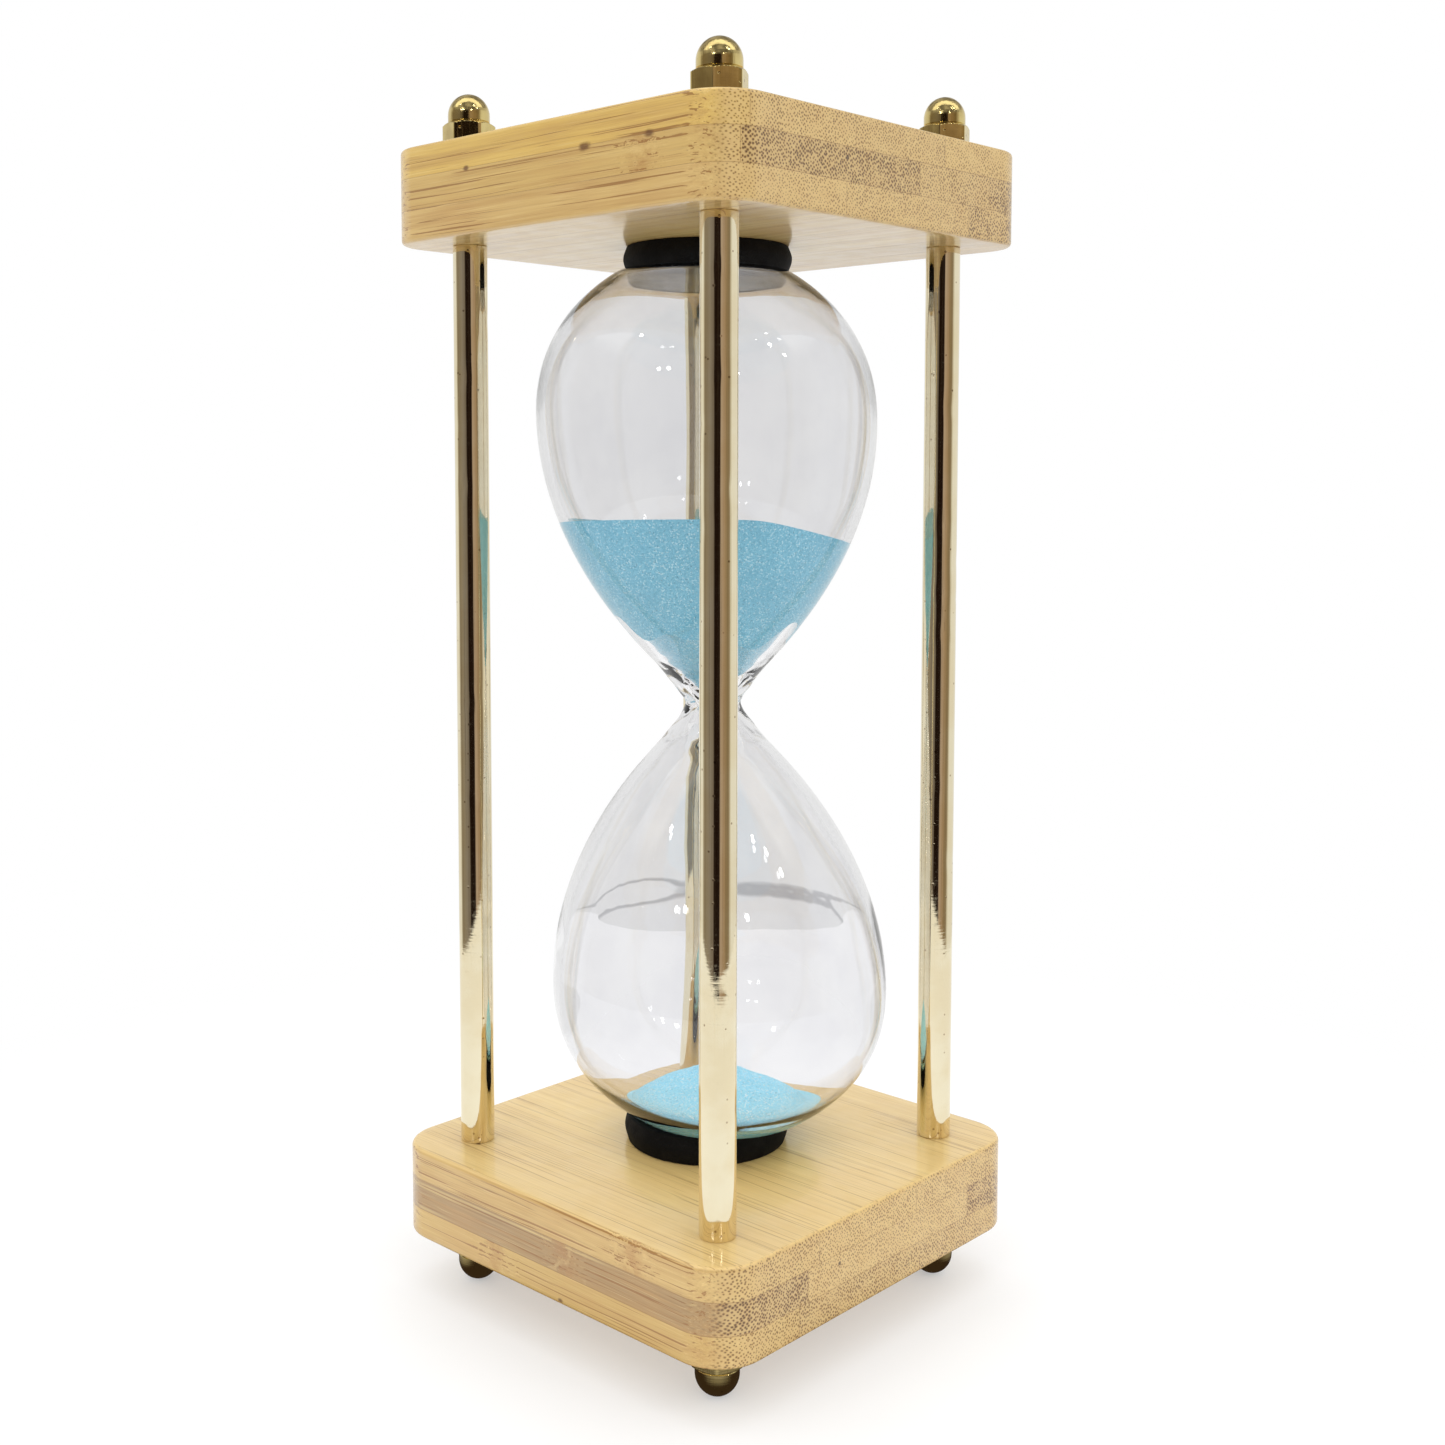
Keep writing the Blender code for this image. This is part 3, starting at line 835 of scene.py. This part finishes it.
        mark = graph.ramp(ragged, size * 0.25, size, 0.85, 0.0)
        base = graph.mix(mark, base, srgb(106, 66, 30))

    ply_gap = graph.times(graph.math("MINIMUM", in_ply, graph.minus(1.0, in_ply)), 16.0 / 3)
    outer = graph.ramp(graph.absolute(z), 7.0, 7.3, 1.0, 0.0)
    joins = graph.math("MAXIMUM",
                       graph.times(outer, graph.ramp(ply_gap, 0.03, 0.10, 1.0, 0.0)),
                       graph.ramp(seams, 0.03, 0.10, 1.0, 0.0))
    base = graph.mix(graph.times(joins, 0.40), base, srgb(142, 100, 52))
    specks = graph.cells(here, 80.0).outputs["Distance"]
    base = graph.mix(graph.ramp(specks, 0.022, 0.036, 0.75, 0.0), base, srgb(66, 46, 28))

    graph.put(shader.inputs["Base Color"], base)
    worn = graph.noise(here, 220.0, 3.0, 0.6)
    rough = graph.plus(graph.ramp(worn, 0.3, 0.7, 0.34, 0.48), graph.times(end_face, 0.18))
    graph.put(shader.inputs["Roughness"], rough)
    shader.inputs["Coat Weight"].default_value = 0.75
    shader.inputs["Coat Roughness"].default_value = 0.11
    shader.inputs["Coat IOR"].default_value = 1.5
    depth = graph.plus(graph.times(bundle, -0.8), graph.times(fibres, 0.35))
    depth = graph.minus(depth, graph.times(joins, 0.6))
    depth = graph.minus(depth, graph.times(line, 0.4))
    graph.put(shader.inputs["Normal"], graph.bump(depth, 0.00007, 0.6))
    ripple = graph.noise(here, 700.0, 2.0, 0.5)
    coated = graph.plus(graph.times(ripple, 0.5),
                        graph.times(depth, graph.ramp(end_face, 0.0, 1.0, 0.35, 1.0)))
    graph.put(shader.inputs["Coat Normal"], graph.bump(coated, 0.00005, 0.4))
    return material


def metal_material(name, colour, shade, roughness, seed, scratch_depth):
    """Plated metal: slow tone changes, fine scratches, specks and small pits."""
    material, graph, shader = new_material(name)
    coordinates = graph.here()
    moved = graph.node("Mapping", None, {0: coordinates, 1: (seed, seed * 0.37, 0.0)})
    slow = graph.noise(moved.outputs[0], 120.0, 3.0, 0.6)
    fine = graph.noise(moved.outputs[0], 1500.0, 3.0, 0.6)
    along = graph.stretched(coordinates, 2600.0, 2600.0, 60.0)
    drawn = graph.noise(along, 1.0, 2.0, 0.6)
    round_it = graph.stretched(coordinates, 90.0, 90.0, 2600.0)
    rings = graph.noise(round_it, 1.0, 2.0, 0.6)
    pits = graph.cells(moved.outputs[0], 420.0).outputs["Distance"]
    pit = graph.ramp(pits, 0.05, 0.11, 1.0, 0.0)
    base = graph.mix(graph.ramp(slow, 0.35, 0.70, 0.0, 0.6), colour, shade)
    base = graph.mix(graph.ramp(drawn, 0.60, 0.78, 0.0, 0.25), base, shade)
    base = graph.mix(graph.times(pit, 0.6), base, srgb(120, 84, 48))
    graph.put(shader.inputs["Base Color"], base)
    shader.inputs["Metallic"].default_value = 1.0
    marks = graph.plus(graph.ramp(rings, 0.55, 0.8, 0.0, 0.10),
                       graph.ramp(fine, 0.45, 0.75, 0.0, 0.06))
    graph.put(shader.inputs["Roughness"], graph.plus(marks, roughness))
    depth = graph.plus(graph.times(drawn, 0.6), graph.times(rings, 0.5))
    depth = graph.minus(depth, graph.times(pit, 1.6))
    graph.put(shader.inputs["Normal"], graph.bump(depth, scratch_depth, 0.5))
    return material


def foam_material():
    """Black closed-cell foam: cut cells, dust and a soft sheen."""
    material, graph, shader = new_material("foam_black")
    coordinates = graph.here()
    cells = graph.cells(coordinates, 3400.0).outputs["Distance"]
    slow = graph.noise(coordinates, 240.0, 3.0, 0.6)
    dust = graph.noise(coordinates, 2600.0, 2.0, 0.7)
    base = graph.mix(graph.ramp(cells, 0.1, 0.6), srgb(5, 5, 6), srgb(13, 13, 15))
    base = graph.mix(graph.ramp(slow, 0.4, 0.75, 0.0, 0.5), base, srgb(6, 6, 7))
    base = graph.mix(graph.ramp(dust, 0.68, 0.80, 0.0, 0.25), base, srgb(70, 70, 72))
    graph.put(shader.inputs["Base Color"], base)
    graph.put(shader.inputs["Roughness"], graph.ramp(slow, 0.3, 0.7, 0.72, 0.9))
    shader.inputs["Specular IOR Level"].default_value = 0.2
    depth = graph.plus(graph.times(cells, 1.0), graph.times(slow, 0.6))
    graph.put(shader.inputs["Normal"], graph.bump(depth, 0.00012, 0.6))
    return material


def glass_material():
    """Clear soda glass with a faint grey body and slight waves."""
    material, graph, shader = new_material("glass_clear")
    coordinates = graph.here()
    haze = graph.noise(coordinates, 90.0, 3.0, 0.6)
    tint = graph.mix(graph.ramp(haze, 0.35, 0.75), srgb(248, 248, 249), srgb(243, 243, 245))
    graph.put(shader.inputs["Base Color"], tint)
    shader.inputs["Roughness"].default_value = 0.0
    shader.inputs["IOR"].default_value = 1.48
    shader.inputs["Transmission Weight"].default_value = 1.0
    stretched = graph.stretched(coordinates, 130.0, 130.0, 34.0)
    waves = graph.noise(stretched, 1.0, 2.0, 0.5)
    graph.put(shader.inputs["Normal"], graph.bump(waves, 0.00010, 0.25))
    return material


def sand_material(name, body, deep, pale):
    """Dyed sand: grains of slightly different blues, smoother pale grains, and painted glints
    mixed into the colour as pale specks.
    """
    material, graph, shader = new_material(name)
    coordinates = graph.here()
    cells = graph.cells(coordinates, 4600.0)
    grain = graph.node("SeparateColor", None, {0: cells.outputs["Color"]})
    slow = graph.noise(coordinates, 170.0, 3.0, 0.6)
    base = graph.mix(graph.ramp(grain.outputs[0], 0.1, 0.9), body, deep)
    base = graph.mix(graph.ramp(grain.outputs[1], 0.80, 0.97, 0.0, 0.8), base, pale)
    base = graph.mix(graph.ramp(grain.outputs[2], 0.94, 0.99, 0.0, 0.5), base, srgb(70, 120, 150))
    base = graph.mix(graph.ramp(slow, 0.4, 0.75, 0.0, 0.35), base, deep)
    # painted glints: pale specks on some larger cells, mixed into the colour to stand in for light
    # glinting off grains
    glint_cells = graph.cells(coordinates, 1500.0)
    choice = graph.node("SeparateColor", None, {0: glint_cells.outputs["Color"]})
    painted_glint = graph.times(graph.ramp(glint_cells.outputs["Distance"], 0.14, 0.26, 1.0, 0.0),
                       graph.ramp(choice.outputs[0], 0.70, 0.90))
    base = graph.mix(graph.times(painted_glint, 0.75), base, pale)
    graph.put(shader.inputs["Base Color"], base)
    graph.put(shader.inputs["Roughness"], graph.ramp(grain.outputs[1], 0.86, 0.97, 0.75, 0.22))
    gap = graph.ramp(cells.outputs["Distance"], 0.15, 0.75, 1.0, 0.0)
    graph.put(shader.inputs["Normal"], graph.bump(gap, 0.00010, 0.7))
    return material


def rubber_material():
    """Grey rubber of the stopper."""
    material, graph, shader = new_material("rubber_grey")
    coordinates = graph.here()
    slow = graph.noise(coordinates, 500.0, 3.0, 0.6)
    fine = graph.noise(coordinates, 4200.0, 2.0, 0.6)
    base = graph.mix(slow, srgb(196, 194, 188), srgb(172, 170, 165))
    graph.put(shader.inputs["Base Color"], base)
    graph.put(shader.inputs["Roughness"], graph.ramp(slow, 0.3, 0.7, 0.5, 0.68))
    graph.put(shader.inputs["Normal"], graph.bump(fine, 0.00003, 0.5))
    return material


# ---------------------------------------------------------------- the timer

bamboo_cap = bamboo_material(
    "bamboo_cap", 3.0,
    plies=[
        [(-40, 0.30, 0.30, 0.10), (-12, 0.38, 0.42, 0.05), (21, 0.52, 0.95, 0.00)],
        [(-40, 0.42, 0.35, 0.30), (-35.5, 0.86, 0.85, 0.10), (7, 0.52, 0.55, 0.10),
         (27, 0.64, 1.00, 0.00)],
        [(-40, 0.20, 0.25, 0.75), (-34.1, 0.28, 0.50, 0.25), (-9.8, 0.40, 0.40, 0.20),
         (14, 0.18, 0.35, 0.45)],
    ],
    joints=[(1, 23.0, -40, -35.5), (2, -26.0, -34.1, -9.8), (2, 12.0, 14, 40),
            (0, -4.0, -12, 21), (0, 28.0, 21, 40)],
    knots=[(11.1, -40, 2.5, 0.95), (25.0, -40, 2.7, 0.85), (-17.1, -40, 2.6, 0.6)])
bamboo_base = bamboo_material(
    "bamboo_base", 8.0,
    plies=[
        [(-40, 0.62, 0.55, 0.35), (-22, 0.66, 0.60, 0.05), (12, 0.62, 0.60, 0.10)],
        [(-40, 0.96, 0.90, 0.00), (-19.9, 0.36, 0.35, 0.00), (24.2, 0.90, 1.00, 0.00),
         (34.3, 0.60, 0.60, 0.00)],
        [(-40, 0.44, 0.50, 0.12), (-17, 0.34, 0.45, 0.20), (9, 0.40, 0.45, 0.15),
         (30, 0.46, 0.55, 0.10)],
    ],
    joints=[(2, 21.0, -40, -25), (2, -22.0, 9, 30), (0, -12.0, -40, -22), (1, 5.0, -40, -19.9),
            (0, 18.0, 12, 40)],
    knots=[(-27.0, -31.0, 8.0, 0.55), (-21.0, 12.0, 8.0, 0.5), (4.3, -40, -7.2, 0.5)])
column_gold = metal_material("column_gold", srgb(236, 226, 196), srgb(228, 212, 174), 0.035, 2.0,
                             0.000010)
nut_brass = metal_material("nut_brass", srgb(222, 202, 138), srgb(158, 134, 84), 0.10, 5.0,
                           0.00010)
stud_steel = metal_material("stud_steel", srgb(196, 198, 202), srgb(160, 162, 166), 0.28, 7.0,
                            0.00002)
black_foam = foam_material()
clear_glass = glass_material()
grey_rubber = rubber_material()
blue_sand = sand_material("sand_blue", srgb(130, 197, 222), srgb(108, 179, 207),
                          srgb(196, 232, 244))
# painted light: the lower sand gets a paler copy of the same blue sand, standing in for the
# brighter light it gets in the lower bulb
lit_sand = sand_material("sand_blue_lit", srgb(158, 226, 247), srgb(140, 216, 242),
                           srgb(232, 248, 253))


def settle(piece, slot, *nodes):
    """The piece stands for the CAD nodes and rides on the timer."""
    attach(piece, "root")
    if nodes:
        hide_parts(*nodes)
    return piece


settle(make_board("board_bottom", BASE_Z, bamboo_base), "bamboo", "bottom_plate")
settle(make_board("board_top", CAP_Z, bamboo_cap), "bamboo", "top_plate")

nut_vertices, nut_faces = nut_mesh_data()
for number, (corner, (side, upper_turn, lower_turn)) in enumerate(COLUMNS.items()):
    x, y = side[0] * COLUMN_OFFSET, side[1] * COLUMN_OFFSET
    column = make_column(f"column_{corner}", (x, y, MIDDLE_Z), number + 1, column_gold)
    settle(column, "column_gold", f"column_tube_{corner}")
    stud = make_stud(f"stud_{corner}", (x, y, MIDDLE_Z), stud_steel)
    settle(stud, "stud_steel", f"threaded_stud_{corner}")
    upper = add_object(f"nut_top_{corner}", nut_vertices, nut_faces, nut_brass, 24,
                       (x, y, CAP_TOP_Z + SEAT))
    upper.rotation_euler.z = math.radians(upper_turn + 30)
    settle(upper, "nut_brass", f"acorn_nut_top_{corner}")
    lower = add_object(f"nut_bottom_{corner}", nut_vertices, nut_faces, nut_brass, 24,
                       (x, y, BASE_Z - SEAT))
    lower.rotation_euler = (math.pi, 0.0, math.radians(lower_turn + 30))
    settle(lower, "nut_brass", f"acorn_nut_bottom_{corner}")

pad = make_pad("pad_bottom", BASE_TOP_Z, BOTTOM_PAD + 2 * SEAT, 1.0, black_foam)
settle(pad, "black_foam", "bottom_pad")
pad = make_pad("pad_top", CAP_Z - TOP_PAD - 2 * SEAT, TOP_PAD + 2 * SEAT, 2.0, black_foam)
settle(pad, "black_foam", "top_pad")

glass = settle(make_glass(clear_glass), "clear_glass", "glass_bulbs")
glass.visible_shadow = False
glass.visible_diffuse = False
settle(make_stopper(grey_rubber), "stopper_rubber", "fill_stopper")
settle(make_upper_sand(blue_sand), "blue_sand", "upper_sand")
settle(make_lower_sand(lit_sand), "blue_sand", "lower_sand")


# ---------------------------------------------------------------- floor, light and camera

CAMERA_AZIMUTH = math.radians(43.49)
CAMERA_ELEVATION = math.radians(4.281)
CAMERA_DISTANCE = 0.30664
CAMERA_TARGET_BACK = -0.005089
CAMERA_TARGET_RISE = 0.017185
FLOOR_RADIUS = 0.262

floor_vertices, floor_faces = lathe([(0.0, 0.0), (0.1, 0.0), (0.2, 0.0), (FLOOR_RADIUS, 0.0)], 96)
floor_faces = [list(reversed(face)) for face in floor_faces]
floor_material, graph, floor_shader = new_material("floor_pale")
spread = graph.here()
length = graph.node("VectorMath", {"operation": "LENGTH"}, {0: spread}).outputs["Value"]
mottle = graph.noise(spread, 30.0, 2.0, 0.5)
graph.put(floor_shader.inputs["Base Color"],
          graph.mix(graph.ramp(mottle, 0.3, 0.7), (0.95, 0.95, 0.95), (0.965, 0.965, 0.965)))
floor_shader.inputs["Roughness"].default_value = 0.8
floor_shader.inputs["Specular IOR Level"].default_value = 0.2
# painted light: the floor glows white, partly near the middle and fully from 0.22 m out, which
# lightens the timer's shadow and blends the floor into the white world
glow = graph.node("Emission", None, {"Color": (1.0, 1.0, 1.0), "Strength": 1.0})
blend = graph.node("MixShader", None, {
    0: graph.ramp(length, 0.03, 0.22, 0.40, 1.0), 1: floor_shader.outputs[0], 2: glow.outputs[0]})
floor_output = [n for n in graph.tree.nodes if n.type == "OUTPUT_MATERIAL"][0]
# painted shadow: only mirror rays see a dark brown glow on the floor within about 6 cm of the
# middle, so the nuts and columns reflect shade there while the floor itself stays pale
painted_shadow_glow = graph.node("Emission", None, {"Color": (0.045, 0.030, 0.022), "Strength": 1.0})
paths = graph.node("LightPath")
mirrored = graph.times(paths.outputs["Is Glossy Ray"],
                       graph.minus(1.0, paths.outputs["Is Transmission Ray"]))
shade = graph.node("MixShader", None, {
    0: graph.times(mirrored, graph.ramp(length, 0.046, 0.064, 1.0, 0.0)),
    1: blend.outputs[0], 2: painted_shadow_glow.outputs[0]})
graph.put(floor_output.inputs[0], shade.outputs[0])
floor = add_object("studio_floor", floor_vertices, floor_faces, floor_material)

world = bpy.data.worlds.new("studio")
bpy.context.scene.world = world
world.use_nodes = True
graph = Graph(world.node_tree)
direction = graph.node("TexCoord").outputs["Generated"]
turned = graph.node("Mapping", {"vector_type": "POINT"},
                    {0: direction, 2: (0.0, 0.0, math.pi / 2 - CAMERA_AZIMUTH)})
parts = graph.node("SeparateXYZ", None, {0: turned.outputs[0]})
around = graph.math("DIVIDE", graph.math("ARCTAN2", parts.outputs[1], parts.outputs[0]), math.pi)
rise = parts.outputs[2]
ripple = graph.noise(graph.combine(graph.times(around, 9.0),
                                   graph.times(rise, 1.2), 0.0), 4.0, 3.0, 0.7)
patches = graph.noise(turned.outputs[0], 3.2, 4.0, 0.65)
waver = graph.times(graph.minus(patches, 0.5), 0.05)
around = graph.plus(around, waver)
room = graph.colours(graph.ramp(around, -0.60, 0.50, 0.0, 1.0, smooth=False), [
    (0.00, (0.66, 0.64, 0.58)), (0.03, (0.56, 0.52, 0.45)), (0.09, (0.27, 0.225, 0.17)),
    (0.18, (0.30, 0.26, 0.21)), (0.30, (0.27, 0.24, 0.22)), (0.385, (0.20, 0.17, 0.15)),
    (0.415, (0.012, 0.005, 0.003)), (0.575, (0.015, 0.008, 0.006)), (0.605, (0.50, 0.39, 0.32)),
    (0.72, (0.40, 0.29, 0.19)), (0.82, (0.27, 0.205, 0.125)), (0.88, (0.34, 0.28, 0.20)),
    (0.915, (0.72, 0.69, 0.62)), (1.0, (0.86, 0.86, 0.86))])
room = graph.mix(graph.ramp(ripple, 0.50, 0.72, 0.0, 0.60), room, (0.08, 0.058, 0.042))
room = graph.mix(graph.ramp(ripple, 0.24, 0.40, 0.40, 0.0), room, (0.48, 0.38, 0.28))
around_back = graph.math("MAXIMUM", graph.ramp(around, -0.60, -0.56, 1.0, 0.0),
                         graph.ramp(around, 0.42, 0.46))
room = graph.mix(around_back, room, (0.88, 0.88, 0.87))
high = graph.ramp(rise, 0.36, 0.56)
ceiling = graph.ramp(patches, 0.36, 0.64, 0.14, 0.62)
room = graph.mix(high, room, graph.combine(ceiling, graph.times(ceiling, 0.96),
                                           graph.times(ceiling, 0.90)))
beside = graph.absolute(graph.minus(parts.outputs[0], 0.05))
strip = graph.times(graph.ramp(beside, 0.16, 0.26, 1.0, 0.0), graph.ramp(rise, 0.50, 0.66))
room = graph.mix(strip, room, (1.7, 1.68, 1.6))
paths = graph.node("LightPath")
seen = graph.mix(paths.outputs["Is Glossy Ray"], (1.0, 1.0, 1.0), room)
horizon = graph.plus(rise, graph.times(graph.minus(graph.noise(
    turned.outputs[0], 7.0, 3.0, 0.6), 0.5), 0.012))
edge = graph.times(graph.ramp(horizon, -0.2500, -0.2482), graph.ramp(
    horizon, -0.2474, -0.2440, 1.0, 0.0))
distance = graph.mix(edge, (0.84, 0.84, 0.835), (0.50, 0.50, 0.51))
seen = graph.mix(paths.outputs["Is Transmission Ray"], seen, distance)
soft = graph.ramp(rise, -0.2, 1.0, 0.80, 1.38)
seen = graph.mix(paths.outputs["Is Diffuse Ray"], seen, graph.combine(soft, soft, soft))
background = graph.node("Background", None, {"Color": seen, "Strength": 1.0})
graph.node("OutputWorld", None, {0: background.outputs[0]})

# lamps for the glass's highlights: degrees to the camera's right of its heading, degrees up
LAMP_ENERGY = 0.055
LAMP_ANGLE = math.radians(2.8)
LAMPS = [(-60, 48), (-34, 27), (-27, 28), (45, 49), (55, 43), (62, 35), (22, 26)]
for number, (turn, lift) in enumerate(LAMPS):
    lamp_data = bpy.data.lights.new(f"lamp_{number}", "SUN")
    lamp_data.energy = LAMP_ENERGY
    lamp_data.angle = LAMP_ANGLE
    lamp = bpy.data.objects.new(f"lamp_{number}", lamp_data)
    heading = CAMERA_AZIMUTH - math.pi / 2 + math.radians(turn)
    lift = math.radians(lift)
    towards = Vector((math.cos(lift) * math.cos(heading), math.cos(lift) * math.sin(heading),
                      math.sin(lift)))
    lamp.rotation_euler = towards.to_track_quat("Z", "Y").to_euler()
    bpy.context.scene.collection.objects.link(lamp)

view_axis = Vector((math.sin(CAMERA_AZIMUTH), -math.cos(CAMERA_AZIMUTH), 0.0))
target = Vector((CAMERA_TARGET_BACK * math.cos(CAMERA_AZIMUTH),
                 CAMERA_TARGET_BACK * math.sin(CAMERA_AZIMUTH), MIDDLE_Z + CAMERA_TARGET_RISE))
offset = view_axis * math.cos(CAMERA_ELEVATION) + Vector((0.0, 0.0, math.sin(CAMERA_ELEVATION)))
camera_data = bpy.data.cameras.new("camera")
camera_data.sensor_width = 36.0
camera_data.lens = 43.128
camera_data.shift_x = 0.0306
camera_data.shift_y = -0.0823
camera_data.clip_start = 0.01
camera = bpy.data.objects.new("camera", camera_data)
camera.location = target + CAMERA_DISTANCE * offset
camera.rotation_euler = (-offset).to_track_quat("-Z", "Y").to_euler()
bpy.context.scene.collection.objects.link(camera)
bpy.context.scene.camera = camera

bpy.context.scene.view_settings.view_transform = "Standard"
